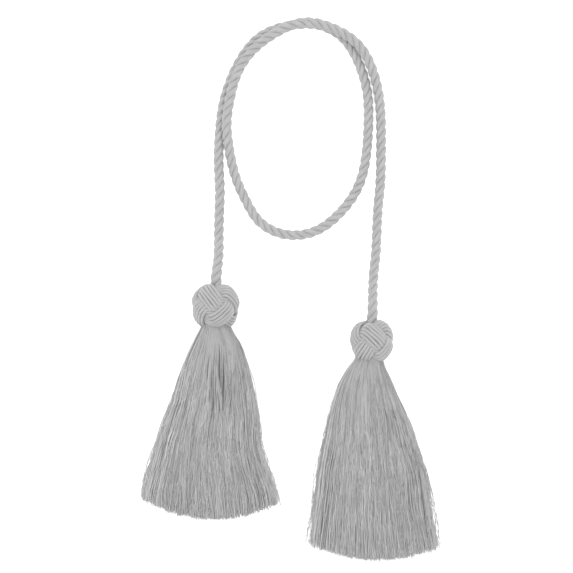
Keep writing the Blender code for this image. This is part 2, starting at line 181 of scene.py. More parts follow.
# %% A group for filaments
streaks, streak_in, streak_out = new_tree(
    "ShaderNodeTree",
    "filaments",
    [
        ("Filament width", "NodeSocketFloat", 0.12 * MM),
        ("Filament run", "NodeSocketFloat", 6.0 * MM),
        ("Patch size", "NodeSocketFloat", 9.0 * MM),
    ],
    [("Filament", "NodeSocketFloat"), ("Patch", "NodeSocketFloat")],
)
place = add(streaks, "ShaderNodeAttribute", attribute_name="fibre_space").outputs["Vector"]
fine = maths(streaks, "DIVIDE", 1.0, streak_in["Filament width"])
run = maths(streaks, "DIVIDE", 1.0, streak_in["Filament run"])
stretch = add(streaks, "ShaderNodeCombineXYZ", {"X": fine, "Y": fine, "Z": run}).outputs[0]
straight = vectors(streaks, "MULTIPLY", place, stretch)
lines = add(streaks, "ShaderNodeTexNoise", {"Vector": straight, "Scale": 1.0, "Detail": 2.0})
blotch = scaled(streaks, place, maths(streaks, "DIVIDE", 1.0, streak_in["Patch size"]))
patches = add(streaks, "ShaderNodeTexNoise", {"Vector": blotch, "Scale": 1.0, "Detail": 1.0})
streaks.links.new(lines.outputs["Fac"], streak_out.inputs["Filament"])
streaks.links.new(patches.outputs["Fac"], streak_out.inputs["Patch"])
print("group:", streaks.name)

# %% [markdown]
# A yarn's material mixes two close greys by the filaments, darkens a little in patches, and lets the
# filaments raise the surface. The tassels' threads also have a tone each, as threads from different cones
# do, and painted shade on top: they are darker near the knot and in the under layer. Sheen stands for the
# light that the loose filaments scatter at the edges of each strand.

# %% A yarn's material
Yarn = namedtuple("Yarn", "dark light gloss filament relief patch")
ROPE_YARN = Yarn(dark=0.39, light=0.54, gloss=0.42, filament=0.14, relief=0.05, patch=4.0)
KNOT_YARN = Yarn(dark=0.38, light=0.53, gloss=0.40, filament=0.16, relief=0.05, patch=6.0)
SKIRT_YARN = Yarn(dark=0.46, light=0.70, gloss=0.45, filament=0.10, relief=0.02, patch=3.0)
SHEEN = 0.15
FILAMENT_SHARE = 0.6  # of the tone; the patches give the rest
THREAD_SHARE = 0.5  # of the tone, where each thread has its own shade
TONE_SPAN = (0.25, 0.75)  # the noise's usual range, which the two greys span
GLOSS_SPAN = (-0.08, 0.10)  # how far the roughness goes below and above the yarn's own


def yarn_material(name, yarn, own_tones_and_painted_shade):
    made = bpy.data.materials.new(name)
    made.use_nodes = True
    tree = made.node_tree
    shader = tree.nodes["Principled BSDF"]
    group = add(tree, "ShaderNodeGroup", node_tree=streaks)
    group.inputs["Filament width"].default_value = yarn.filament * MM
    group.inputs["Patch size"].default_value = yarn.patch * MM
    filament = group.outputs["Filament"]
    patchy = maths(tree, "MULTIPLY", group.outputs["Patch"], 1 - FILAMENT_SHARE)
    tone = maths(tree, "ADD", maths(tree, "MULTIPLY", filament, FILAMENT_SHARE), patchy)
    if own_tones_and_painted_shade:
        # each thread's own tone, with painted shade near the knot and on the under threads
        own = add(tree, "ShaderNodeAttribute", attribute_name="thread_tone").outputs["Fac"]
        own = maths(tree, "MULTIPLY", own, THREAD_SHARE)
        tone = maths(tree, "ADD", maths(tree, "MULTIPLY", tone, 1 - THREAD_SHARE), own)
    ramp = add(tree, "ShaderNodeValToRGB", {"Fac": tone})
    for stop, position, grey in zip(ramp.color_ramp.elements, TONE_SPAN, (yarn.dark, yarn.light)):
        stop.position = position
        stop.color = (grey, grey, grey, 1.0)
    tree.links.new(ramp.outputs["Color"], shader.inputs["Base Color"])
    smoothest, roughest = (yarn.gloss + change for change in GLOSS_SPAN)
    settings = {"Value": filament, "To Min": smoothest, "To Max": roughest}
    rough = add(tree, "ShaderNodeMapRange", settings)
    tree.links.new(rough.outputs["Result"], shader.inputs["Roughness"])
    settings = {"Height": filament, "Distance": yarn.relief * MM, "Strength": 1.0}
    bump = add(tree, "ShaderNodeBump", settings)
    tree.links.new(bump.outputs["Normal"], shader.inputs["Normal"])
    shader.inputs["Sheen Weight"].default_value = SHEEN
    return made


rope_material = yarn_material("rope_yarn", ROPE_YARN, False)
knot_material = yarn_material("knot_cord", KNOT_YARN, False)
skirt_material = yarn_material("skirt_thread", SKIRT_YARN, True)
print("materials:", rope_material.name, knot_material.name, skirt_material.name)

# %% [markdown]
# Every soft piece starts as curves: the middle line of the rope, of a cord or of a lock of threads. Each
# point of a curve also has a radius, which the trees read as how wide the piece is there. The finished tree
# is applied by copying what it makes into a plain mesh, so that nothing is left to work out later.


# %% Curves in, meshes out
def curve_object(name, lines, radii, closed=0):
    """Straight-sided curves, one for each array of points in metres. The first few may be closed."""
    data = bpy.data.curves.new(name, "CURVE")
    data.dimensions = "3D"
    for number, (line, radius) in enumerate(zip(lines, radii)):
        spline = data.splines.new("POLY")
        spline.points.add(len(line) - 1)
        weighted = np.column_stack([line, np.ones(len(line))])
        spline.points.foreach_set("co", weighted.astype(np.float32).ravel())
        spline.points.foreach_set("radius", np.asarray(radius, np.float32))
        spline.use_cyclic_u = number < closed
    obj = bpy.data.objects.new(name, data)
    bpy.context.scene.collection.objects.link(obj)
    return obj


def grow(name, source, tree, values):
    """The mesh that a node tree makes of the source's curves, as an object of its own."""
    modifier = source.modifiers.new("tree", "NODES")
    modifier.node_group = tree
    for item in tree.interface.items_tree:
        if item.in_out == "INPUT" and item.name in values:
            modifier[item.identifier] = values[item.name]
    graph = bpy.context.evaluated_depsgraph_get()
    ready = source.evaluated_get(graph)
    mesh = bpy.data.meshes.new_from_object(ready, preserve_all_data_layers=True, depsgraph=graph)
    mesh.name = name
    obj = bpy.data.objects.new(name, mesh)
    bpy.context.scene.collection.objects.link(obj)
    source.modifiers.clear()
    bpy.data.objects.remove(source, do_unlink=True)
    print(f"{name}: {len(mesh.polygons)} faces")
    return obj


# %% [markdown]
# Every tree ends in the same way: an outline is swept along the curves and the result is made real.
# Bevelled curves could do this without a tree, but they keep no attributes. The sweep needs two: where a
# point was on the outline, and how far along its own curve, because together they are the fibre_space that
# the yarns read.


# %% The sweep that ends each tree
def named_attribute(tree, name, kind):
    return add(tree, "GeometryNodeInputNamedAttribute", {"Name": name}, data_type=kind).outputs[0]


def stored(tree, geometry, name, value, kind):
    """The geometry with one more attribute on its points."""
    settings = {"Geometry": geometry, "Name": name, "Value": value}
    return add(tree, "GeometryNodeStoreNamedAttribute", settings, data_type=kind, domain="POINT").outputs[0]


def with_place_around(tree, outline):
    """The outline, with each of its points' own place stored as around."""
    where = add(tree, "GeometryNodeInputPosition").outputs[0]
    return stored(tree, outline, "around", where, "FLOAT_VECTOR")


def swept(tree, curve, outline, material):
    """Sweep the outline, write fibre_space, smooth, make it real and give it its material."""
    settings = {"Curve": curve, "Profile Curve": outline, "Fill Caps": True}
    tube = add(tree, "GeometryNodeCurveToMesh", settings)
    if "Scale" in tube.inputs:  # a node with this input doesn't read the radius by itself
        tree.links.new(add(tree, "GeometryNodeInputRadius").outputs[0], tube.inputs["Scale"])
    around = add(tree, "ShaderNodeSeparateXYZ", {0: named_attribute(tree, "around", "FLOAT_VECTOR")})
    along = named_attribute(tree, "along", "FLOAT")
    settings = {"X": around.outputs["X"], "Y": around.outputs["Y"], "Z": along}
    place = add(tree, "ShaderNodeCombineXYZ", settings).outputs[0]
    fibrous = stored(tree, tube.outputs[0], "fibre_space", place, "FLOAT_VECTOR")
    smooth = add(tree, "GeometryNodeSetShadeSmooth", {"Geometry": fibrous})
    real = add(tree, "GeometryNodeRealizeInstances", {"Geometry": smooth.outputs[0]})
    settings = {"Geometry": real.outputs[0], "Material": material}
    return add(tree, "GeometryNodeSetMaterial", settings).outputs[0]


print("sweep ready")

# %% [markdown]
# Rope is strands laid round one another. The tree takes the rope's middle line, copies it once for each
# strand and moves each copy out onto a helix, which is the rope's lay. Helices could be worked out in
# Python, but in the tree the lay is one number. The same tree with one strand and no offset makes the cords
# of the knots.

# %% The tree that lays a rope: strands
TURN = 2 * math.pi

laid, laid_in, laid_out = new_tree(
    "GeometryNodeTree",
    "laid_cord",
    [
        ("Geometry", "NodeSocketGeometry", None),
        ("Strands", "NodeSocketInt", 3),
        ("Strand offset", "NodeSocketFloat", 1.5 * MM),
        ("Lay", "NodeSocketFloat", 16.0 * MM),
        ("Strand radius", "NodeSocketFloat", 1.5 * MM),
        ("Yarns", "NodeSocketInt", 10),
        ("Yarn relief", "NodeSocketFloat", 0.1),
        ("Yarn lay", "NodeSocketFloat", -10.0 * MM),
        ("Step", "NodeSocketFloat", 1.0 * MM),
        ("Material", "NodeSocketMaterial", None),
    ],
    [("Geometry", "NodeSocketGeometry")],
)
settings = {"Curve": laid_in["Geometry"], "Length": laid_in["Step"]}
even = add(laid, "GeometryNodeResampleCurve", settings, mode="LENGTH")
settings = {"Geometry": even.outputs[0], "Amount": laid_in["Strands"]}
copies = add(laid, "GeometryNodeDuplicateElements", settings, domain="SPLINE")
length = add(laid, "GeometryNodeSplineParameter").outputs["Length"]
wound = maths(laid, "MULTIPLY", maths(laid, "DIVIDE", length, laid_in["Lay"]), TURN)
share = maths(laid, "DIVIDE", copies.outputs["Duplicate Index"], laid_in["Strands"])
wound = maths(laid, "ADD", wound, maths(laid, "MULTIPLY", share, TURN))
normal = add(laid, "GeometryNodeInputNormal").outputs[0]
tangent = add(laid, "GeometryNodeInputTangent").outputs[0]
settings = {"Vector": normal, "Axis": tangent, "Angle": wound}
outward = add(laid, "ShaderNodeVectorRotate", settings, rotation_type="AXIS_ANGLE").outputs[0]
width = add(laid, "GeometryNodeInputRadius").outputs[0]
offset = scaled(laid, outward, maths(laid, "MULTIPLY", width, laid_in["Strand offset"]))
settings = {"Geometry": copies.outputs["Geometry"], "Offset": offset}
helices = add(laid, "GeometryNodeSetPosition", settings).outputs[0]
print("tree:", laid.name, len(laid.nodes), "nodes so far")

# %% [markdown]
# A strand is itself spun from yarns, so its outline is a star with as many points as yarns, turned the
# other way along the strand. The number of turns is rounded to a whole number of yarns, so that the outline
# meets itself where a cord is closed. Without that, each closed cord would have a step in it.

# %% The tree that lays a rope: yarns
total = add(laid, "GeometryNodeSplineLength").outputs["Length"]
yarns_passed = maths(laid, "DIVIDE", total, laid_in["Yarn lay"])
yarns_passed = maths(laid, "MULTIPLY", yarns_passed, laid_in["Yarns"])
turns = maths(laid, "DIVIDE", maths(laid, "ROUND", yarns_passed), laid_in["Yarns"])
so_far = maths(laid, "DIVIDE", length, total)
spun = maths(laid, "MULTIPLY", maths(laid, "MULTIPLY", so_far, turns), TURN)
twisted = add(laid, "GeometryNodeSetCurveTilt", {"Curve": helices, "Tilt": spun}).outputs[0]
measured = stored(laid, twisted, "along", length, "FLOAT")
inner = maths(laid, "SUBTRACT", 1.0, laid_in["Yarn relief"])
inner = maths(laid, "MULTIPLY", laid_in["Strand radius"], inner)
settings = {"Points": laid_in["Yarns"], "Inner Radius": inner, "Outer Radius": laid_in["Strand radius"]}
star = add(laid, "GeometryNodeCurveStar", settings).outputs["Curve"]
fibres = swept(laid, measured, with_place_around(laid, star), laid_in["Material"])
laid.links.new(fibres, laid_out.inputs[0])
print("tree:", laid.name, len(laid.nodes), "nodes")

# %% [markdown]
# The rope's route is a short list of points with a smooth curve through them, the same as in the solid. It
# leaves the left knot, climbs, goes once right round the loop, rises over itself and comes down to the
# right knot. A simulation could drop a rope on the table too, but it would hardly fall into just this loop.

# %% The rope's route
ROPE_REST = 3.05  # the lowest that its middle lies over the table
ROUTE_STEPS = 900
ROPE_ROUTE = (
    (-43.6, 80.2, 12.2),
    (-43.1, 86.8, 11.4),
    (-42.2, 95.5, 7.6),
    (-42.1, 105.4, 3.9),
    (-42.0, 118.7, 2.8),
    (-41.6, 136.0, 2.8),
    (-42.3, 150.5, 2.8),
    (-41.9, 165.7, 2.8),
    (-39.9, 183.7, 2.8),
    (-35.1, 199.7, 2.8),
    (-28.4, 212.9, 2.8),
    (-17.4, 225.0, 2.8),
    (-1.5, 230.9, 2.8),
    (15.5, 231.5, 2.8),
    (30.5, 223.4, 2.8),
    (39.3, 209.1, 2.8),
    (43.8, 194.7, 2.8),
    (45.0, 176.7, 2.8),
    (43.8, 157.0, 2.8),
    (39.2, 137.6, 2.8),
    (28.6, 122.1, 2.8),
    (15.2, 111.8, 2.8),
    (-1.3, 109.0, 2.8),
    (-19.6, 118.0, 2.8),
    (-25.6, 127.6, 2.8),
    (-31.2, 139.6, 2.8),
    (-36.1, 159.3, 5.0),
    (-37.4, 173.8, 7.9),
    (-35.4, 188.2, 8.6),
    (-31.0, 203.2, 8.8),
    (-22.0, 216.2, 8.8),
    (-8.9, 226.1, 8.8),
    (7.4, 232.1, 8.8),
    (24.3, 228.7, 8.7),
    (38.9, 219.3, 7.7),
    (47.4, 204.4, 5.8),
    (51.6, 186.0, 3.6),
    (52.4, 158.2, 2.8),
    (52.1, 141.9, 2.8),
    (50.2, 118.7, 2.8),
    (49.4, 100.0, 3.0),
    (47.9, 84.5, 4.6),
    (47.2, 69.4, 10.2),
    (46.9, 59.8, 10.9),
)


def smooth_route(route, count):
    """Points on a natural cubic spline through the route."""
    knots = np.array(route, float)
    spans = np.linalg.norm(np.diff(knots, axis=0), axis=1)
    reach = np.concatenate([[0.0], np.cumsum(spans)])
    last = len(knots) - 1
    system = np.eye(last + 1)
    right_side = np.zeros((last + 1, 3))
    for i in range(1, last):
        system[i, i - 1 : i + 2] = (spans[i - 1], 2 * (spans[i - 1] + spans[i]), spans[i])
        ahead = (knots[i + 1] - knots[i]) / spans[i]
        behind = (knots[i] - knots[i - 1]) / spans[i - 1]
        right_side[i] = 6 * (ahead - behind)
    bends = np.linalg.solve(system, right_side)
    along = np.linspace(0.0, reach[-1], count)
    span = np.clip(np.searchsorted(reach, along) - 1, 0, last - 1)
    width = spans[span][:, None]
    after = (along - reach[span])[:, None] / width
    before = 1 - after
    lift = ((before**3 - before) * bends[span] + (after**3 - after) * bends[span + 1]) * width**2 / 6
    return before * knots[span] + after * knots[span + 1] + lift


rope_line = smooth_route(ROPE_ROUTE, ROUTE_STEPS)
rope_line[:, 2] = np.maximum(rope_line[:, 2], ROPE_REST)
rope_steps = np.linalg.norm(np.diff(rope_line, axis=0), axis=1)
rope_reach = np.concatenate([[0.0], np.cumsum(rope_steps)])
print("rope length:", round(rope_reach[-1], 1), "mm")

# %% [markdown]
# Hand-laid rope is never quite even, and it opens a little where it comes out of a knot. Both are small
# changes of its radius along the way. At each end the strands go on for a few millimetres inside the knot,
# so that no cut end shows. Then the tree lays it, and it takes the place of the solid rope.

# %% The rope
FLARE = 0.10  # how much wider the rope is at a knot, as a share
FLARE_REACH = 9.0
UNEVEN = 0.018
SLOW_CHANGE = 23.0  # the two waves in its width are TURN times as long as these
QUICK_CHANGE = 9.7
QUICK_START = 1.0
HIDDEN_END = 3.6


def carried_on(end, before):
    """The point a little past the end of a line, straight on."""
    way = end - before
    return end + HIDDEN_END * way / np.linalg.norm(way)


near_end = np.minimum(rope_reach, rope_reach[-1] - rope_reach)
rope_width = 1 + FLARE * np.exp(-((near_end / FLARE_REACH) ** 2))
slow = np.sin(rope_reach / SLOW_CHANGE)
quick = np.sin(rope_reach / QUICK_CHANGE + QUICK_START)
rope_width += UNEVEN * (slow + quick) / 2
inside_left = carried_on(rope_line[0], rope_line[1])
inside_right = carried_on(rope_line[-1], rope_line[-2])
whole_line = np.vstack([inside_left, rope_line, inside_right])
whole_width = np.concatenate([rope_width[:1], rope_width, rope_width[-1:]])
rope_settings = {
    "Strands": 3,
    "Strand offset": 1.50 * MM,
    "Lay": 16.0 * MM,
    "Strand radius": 1.57 * MM,
    "Yarns": 11,
    "Yarn relief": 0.11,
    "Yarn lay": -10.0 * MM,
    "Step": 1.0 * MM,
    "Material": rope_material,
}
rope_source = curve_object("rope_middle", [whole_line * MM], [whole_width])
rope = grow("rope_strands", rope_source, laid, rope_settings)
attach(rope, "root")
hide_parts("rope")

# %% [markdown]
# The two tassels are made alike but tied by hand, so each has its own measures, in millimetres. A skirt could
# be a plain cone, but real ones bulge, lean and spread. So its outline is a list of sections at distances
# down from the middle of the knot: how far the threads reach to the left and to the right, how high they
# stand, and how far their underside is over the table.

# %% The skirts' sections
Section = namedtuple("Section", "down left right top under")
SKIRT_ROWS_LEFT = (
    Section(down=8.0, left=-6.6, right=6.6, top=17.6, under=6.0),
    Section(down=11.5, left=-7.9, right=7.9, top=18.2, under=5.0),
    Section(down=14.2, left=-9.6, right=9.4, top=19.4, under=4.6),
    Section(down=17.4, left=-11.6, right=12.1, top=20.2, under=3.7),
    Section(down=22.0, left=-14.0, right=15.2, top=20.4, under=2.0),
    Section(down=31.0, left=-18.4, right=18.0, top=19.0, under=0.0),
    Section(down=42.0, left=-22.2, right=20.9, top=17.0, under=0.0),
    Section(down=56.0, left=-26.2, right=23.2, top=15.0, under=0.0),
    Section(down=66.0, left=-30.4, right=25.0, top=13.8, under=0.0),
    Section(down=80.0, left=-35.2, right=26.0, top=12.4, under=0.0),
    Section(down=94.0, left=-39.8, right=30.2, top=11.2, under=0.0),
    Section(down=108.0, left=-43.9, right=35.6, top=10.0, under=0.0),
    Section(down=123.0, left=-45.5, right=38.5, top=9.0, under=0.0),
)
SKIRT_ROWS_RIGHT = (
    Section(down=7.0, left=-7.4, right=5.4, top=15.8, under=5.2),
    Section(down=11.0, left=-9.9, right=6.2, top=16.6, under=4.2),
    Section(down=13.4, left=-12.8, right=7.2, top=17.8, under=3.9),
    Section(down=17.0, left=-15.2, right=8.8, top=19.2, under=3.0),
    Section(down=21.0, left=-17.2, right=11.2, top=19.2, under=1.6),
    Section(down=28.0, left=-20.6, right=14.2, top=18.2, under=0.0),
    Section(down=42.0, left=-24.2, right=20.2, top=16.2, under=0.0),
    Section(down=56.0, left=-27.0, right=25.3, top=14.6, under=0.0),
    Section(down=77.0, left=-31.6, right=32.4, top=12.6, under=0.0),
    Section(down=98.0, left=-34.6, right=35.8, top=11.0, under=0.0),
    Section(down=118.0, left=-37.2, right=40.0, top=9.6, under=0.0),
    Section(down=131.0, left=-38.2, right=42.2, top=9.0, under=0.0),
)
print("sections in a skirt:", len(SKIRT_ROWS_LEFT), "and", len(SKIRT_ROWS_RIGHT))

# %% [markdown]
# The rest of a tassel is a few numbers. Its knot has a centre, a width, a height, three angles by which the
# weave is turned, the angle that the band reaches up and down, and the thickness of a cord. The hem is how
# far down the middle threads hang. It is shorter by hem_arc at both sides, and hem_lean is then added on the
# right and taken off on the left. The last number is how far the bundle opens between its locks. Kept in one
# record, they let the same functions make both tassels.

# %% The tassels' measures
TASSEL_FIELDS = "side centre width height turn tilt lean reach cord rows hem hem_arc hem_lean open"
Tassel = namedtuple("Tassel", TASSEL_FIELDS)
LEFT = Tassel(
    side="left",
    centre=(-43.7, 67.7),
    width=27.1,
    height=24.4,
    turn=27.6,
    tilt=2.6,
    lean=-2.5,
    reach=47,
    cord=1.83,
    rows=SKIRT_ROWS_LEFT,
    hem=125.0,
    hem_arc=8.6,
    hem_lean=1.2,
    open=1.0,
)
RIGHT = Tassel(
    side="right",
    centre=(46.6, 47.4),
    width=24.5,
    height=24.1,
    turn=53.6,
    tilt=-10.0,
    lean=4.4,
    reach=50,
    cord=1.90,
    rows=SKIRT_ROWS_RIGHT,
    hem=128.2,
    hem_arc=6.2,
    hem_lean=1.0,
    open=0.3,
)
TASSELS = (LEFT, RIGHT)
print("the skirts hang", [tassel.hem for tassel in TASSELS], "mm down from the middle of the knot")

# %% [markdown]
# Each ball is a Turk's head: one band of six cords that goes three times round while it swings four times
# from top to bottom, over and under itself at each of its eight crossings. A knot like this could be tied
# from straight cords in a simulation, but its path is also a formula, and a formula never slips. The
# latitude is a cosine and the azimuth grows evenly. The ball then leans a few degrees against the rope.

# %% The weave's path
LEADS = 3
BIGHTS = 4
WEAVE_PLATEAU = 1.5  # above 1, the band stays quite over or quite under for a while at each crossing


def turned(first, second, degrees):
    """Two of a point's coordinates, turned round the third."""
    c = np.cos(np.radians(degrees))
    s = np.sin(np.radians(degrees))
    return first * c - second * s, first * s + second * c


def weave_place(steps, tassel):
    """The middle of the band, as directions from the ball's middle."""
    latitude = np.radians(tassel.reach) * np.cos(BIGHTS * steps)
    azimuth = np.radians(tassel.turn) - LEADS * steps
    x = np.cos(latitude) * np.sin(azimuth)
    y = np.sin(latitude)
    z = np.cos(latitude) * np.cos(azimuth)
    y, z = turned(y, z, -tassel.tilt)
    x, y = turned(x, y, tassel.lean)
    return np.stack([x, y, z], axis=1)


def weave_over(steps):
    """1 where the band runs over, -1 where it runs under."""
    pairs = [(m, k) for m in range(2 * BIGHTS) for k in range(1, LEADS)]
    crossings = sorted((np.pi * m / BIGHTS + np.pi * k / LEADS) % TURN for m, k in pairs)
    places = np.array([crossings[-1] - TURN] + crossings + [crossings[0] + TURN])
    phase = np.interp(steps, places, np.arange(len(places)))
    return np.clip(WEAVE_PLATEAU * np.cos(np.pi * phase), -1, 1)


print("crossings:", (LEADS - 1) * BIGHTS)

# %% [markdown]
# The six cords lie side by side across the band and each wanders a little, as cords laid by hand do. Where
# the band runs under, all six sink by the same depth, and the outer cords lie a little deeper than the
# middle ones, which gives the band its crown. One more cord is wound into a plain ball inside them, so that
# yarn shows behind the small hollows between the bands.

# %% The cords of a knot
BAND_CORDS = 6
CORD_STEPS = 420
CORD_WANDER = 0.10
WANDER_WAVES = (7, 11, 17)
WEAVE_DEPTH = 2.3
BAND_CROWN = 0.62
FULLER_WIDTH = 1.03  # the cords of the band stand out a little further than the solid
FULLER_HEIGHT = 1.06
BALL_FLAT = 1.4  # how far the ball is pressed flat where it lies on the table
CORE_SHARE = 0.82
CORE_STEPS = 500
CORE_CORD = 1.8


def ball_centre(tassel):
    return (*tassel.centre, tassel.width / 2 - BALL_FLAT)


def cord_wander(steps, rng):
    """A small drift that ends where it began, because each wave fits into the closed cord."""
    drift = 0.0
    for k in WANDER_WAVES:
        size = rng.uniform(-CORD_WANDER, CORD_WANDER)
        drift = drift + size * np.sin(k * steps + rng.uniform(0, TURN))
    return drift


def knot_cords(tassel, rng):
    """The middle line of each cord of the band, in millimetres, from its lowest point round to it again."""
    radius = tassel.width / 2
    outermost = (BAND_CORDS - 1) / 2
    steps = np.linspace(0.0, TURN, CORD_STEPS, endpoint=False)
    middle = weave_place(steps, tassel)
    aside = np.cross(middle, np.roll(middle, -1, axis=0) - np.roll(middle, 1, axis=0))
    aside /= np.linalg.norm(aside, axis=1)[:, None]
    under = WEAVE_DEPTH * (1 - weave_over(steps)) / 2
    lines = []
    for cord in range(BAND_CORDS):
        wander = cord_wander(steps, rng)
        rise = cord_wander(steps, rng)
        beside = (cord - outermost) / outermost
        off = (beside * outermost * tassel.cord + wander) / radius
        depth = radius - tassel.cord / 2 - under + rise - BAND_CROWN * beside**2
        lines.append((middle * np.cos(off)[:, None] + aside * np.sin(off)[:, None]) * depth[:, None])
    wanted = np.array([tassel.width * FULLER_WIDTH, tassel.height * FULLER_HEIGHT]) / 2 - tassel.cord / 2
    stretch = np.append(wanted / np.abs(np.concatenate(lines)[:, :2]).max(axis=0), 1.0)
    placed = [line * stretch + ball_centre(tassel) for line in lines]
    resting = [np.maximum(line, (-np.inf, -np.inf, tassel.cord / 2)) for line in placed]
    return [np.roll(line, -np.argmin(line[:, 2]), axis=0) for line in resting]


def knot_core(tassel):
    """The line of the cord inside, wound from pole to pole."""
    radius = tassel.width / 2 * CORE_SHARE
    along = np.linspace(0.0, 1.0, CORE_STEPS)
    polar = np.pi * along
    azimuth = TURN * along * np.pi * radius / CORE_CORD
    x = np.sin(polar) * np.sin(azimuth)
    y = np.cos(polar) * tassel.height / tassel.width
    z = np.sin(polar) * np.cos(azimuth)
    return radius * np.stack([x, y, z], axis=1) + ball_centre(tassel)


print("cords in a knot:", BAND_CORDS + 1)

# %% [markdown]
# The cords are swept by the same tree as the rope, as one strand each with no offset. The six are closed
# and the core is open, and all seven are one mesh. Yarns that are only just raised are enough here, because
# these cords are thin and the weave itself gives the knot its pattern.

# %% The knots
SEED = 11
CORD_SHARE = 0.562  # a cord is a little fatter than its place, so the cords of a band sink into each other

for tassel in TASSELS:
    rng = np.random.default_rng(SEED)
    lines = [line * MM for line in knot_cords(tassel, rng) + [knot_core(tassel)]]
    widths = [np.ones(len(line)) for line in lines]
    cord_settings = {
        "Strands": 1,
        "Strand offset": 0.0,
        "Strand radius": CORD_SHARE * tassel.cord * MM,
        "Yarns": 8,
        "Yarn relief": 0.05,
        "Yarn lay": 9.0 * MM,
        "Step": 1.0 * MM,
        "Material": knot_material,
    }
    source = curve_object("knot_cords", lines, widths, closed=BAND_CORDS)
    knot = grow(f"knot_{tassel.side}_cords", source, laid, cord_settings)
    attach(knot, "root")
    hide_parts(f"knot_{tassel.side}")

# %% [markdown]
# A tassel's skirt is a bundle of a few thousand threads. They leave the knot packed tight and round, and
# fan out and flatten where they lie on the table. The threads hang together in locks, so the way from knot
# to hem is worked out for each lock only, and the tree later spreads each lock into its threads. Working
# out every thread by itself would give no locks, and it is the locks that make a skirt look like yarn and
# not like fur.


# %% The way of a lock
SECTION_BLEND = 3.0  # the sections are averaged this far up and down, so that no thread has a corner
BLEND_STEPS = (-1.0, -0.5, 0.0, 0.5, 1.0)
ROUND_UNTIL = 34.0  # how far down the skirt's section stays rounded underneath
DOME = 2.5  # 2 would make the section's top an ellipse, and more makes it squarer
MARGIN_ROOT = 0.3  # the locks keep this far inside the skirt's sides at the knot
MARGIN_HEM = 2.6
MARGIN_SHARE = 0.85  # of the lock's own spread, so that its threads stay inside the skirt
SPLIT_PLACE = 41.0  # how far down the bundle first opens between its locks
SPLIT_RUN = 14.0  # and how far up and down from there the opening fades
LOWEST = 0.2  # no lock's middle line comes closer to the table


def section_at(tassel, down):
    """How far left, right, up and under the skirt reaches at each distance down it."""
    places = [row.down for row in tassel.rows]
    near = down + SECTION_BLEND * np.array(BLEND_STEPS)[:, None]
    sides = [[getattr(row, side) for row in tassel.rows] for side in Section._fields[1:]]
    return [np.interp(near, places, reaches).mean(axis=0) for reaches in sides]


def lock_line(tassel, across, up, wander, sink, spread, part=0.0):
    """A line from knot to hem. across runs from -1 to 1, and up from 0 on the table to 1. wander is added to
    across. Where the bundle opens, the line loses sink of its height and bends aside by part. spread is the
    lock's own radius."""
    along = np.linspace(0.0, 1.0, len(wander))
    split = np.exp(-(((along * tassel.hem - SPLIT_PLACE) / SPLIT_RUN) ** 2))
    across = across + wander + part * split
    inside = np.clip(across, -1.0, 1.0)
    hem = tassel.hem - tassel.hem_arc * inside**2 + tassel.hem_lean * inside
    root = tassel.rows[0].down
    down = root + along * (hem - root)
    left, right, top, under = section_at(tassel, down)
    dome = (1 - np.abs(inside) ** DOME) ** (1 / DOME)
    rounded = np.clip(1 - (down - root) / ROUND_UNTIL, 0, 1)
    height = top - under
    low = under + rounded * height / 2 * (1 - dome)
    high = under + rounded * height / 2 * (1 + dome) + (1 - rounded) * height * dome
    reach = (right - left) / 2 - MARGIN_ROOT - (MARGIN_HEM - MARGIN_ROOT) * along - MARGIN_SHARE * spread
    x = tassel.centre[0] + (left + right) / 2 + reach * across
    y = tassel.centre[1] - down
    share = up - sink * split
    z = np.maximum(low + share * (high - low), LOWEST)
    return np.stack([x, y, z], axis=1)


print("locks stay rounded underneath for", ROUND_UNTIL, "mm")

# %% [markdown]
# Locks lie beside each other in even places, each a little off its own, and each drifts to one side or the
# other on its way down. Part of the way down the bundle opens: most of the locks near that place sink and
# bend aside, while a few bridge it. The opening could be cut out of the bundle instead, but then its edges
# would be bare ends. All random numbers come from fixed seeds, so the result is always the same.

# %% The locks
DRIFT_WAVES = (1, 2, 3, 5)
DRIFT_AT_HEM = 0.7
PLACE_JITTER = 0.5  # of the way to the next lock
LEVEL_JITTER = (-0.04, 0.03)
SPLIT_MIDDLE = 0.12  # where the bundle opens from side to side, as a share of its width
SPLIT_WIDTH = 0.45
PARTING = 0.06
SINKING = (0.4, 1.0)  # of the layer's own sink
SUNK_SHARE = 0.75  # the other locks bridge the opening
BRIDGE_SINK = 0.15
SPREAD_PLACES = (0.0, 0.10, 0.28, 0.48, 1.0)  # how far down a layer's five spreads are


def wandering(rng, size, points):
    """A slow sideways drift that starts at nothing by the knot."""
    along = np.linspace(0.0, 1.0, points)
    drift = sum(rng.uniform(-1, 1) * np.sin(k * along * np.pi) / k for k in DRIFT_WAVES)
    return size * (drift + rng.uniform(-DRIFT_AT_HEM, DRIFT_AT_HEM) * along)


def locks(tassel, layer, rng):
    """The middle line of each of a layer's locks, with how far its threads spread along it."""
    spread = np.interp(np.linspace(0.0, 1.0, layer.points), SPREAD_PLACES, layer.spreads)
    lines = []
    for up in layer.levels:
        for i in range(layer.locks):
            jitter = rng.uniform(-PLACE_JITTER, PLACE_JITTER)
            across = (2 * i + 1) / layer.locks - 1 + jitter * 2 / layer.locks
            height = up + rng.uniform(*LEVEL_JITTER)
            wander = wandering(rng, layer.drift * (1 - across**2), layer.points)
            away = (across - SPLIT_MIDDLE) / SPLIT_WIDTH
            falls = 1.0 if rng.random() < SUNK_SHARE else BRIDGE_SINK
            here = tassel.open * np.exp(-(away**2)) * rng.uniform(*SINKING) * falls
            part = PARTING * away * here
            lines.append(lock_line(tassel, across, height, wander, layer.sink * here, spread, part) * MM)
    return curve_object("locks", lines, [spread * MM] * len(lines))


print("a layer's spreads are read at", SPREAD_PLACES, "of the way down")
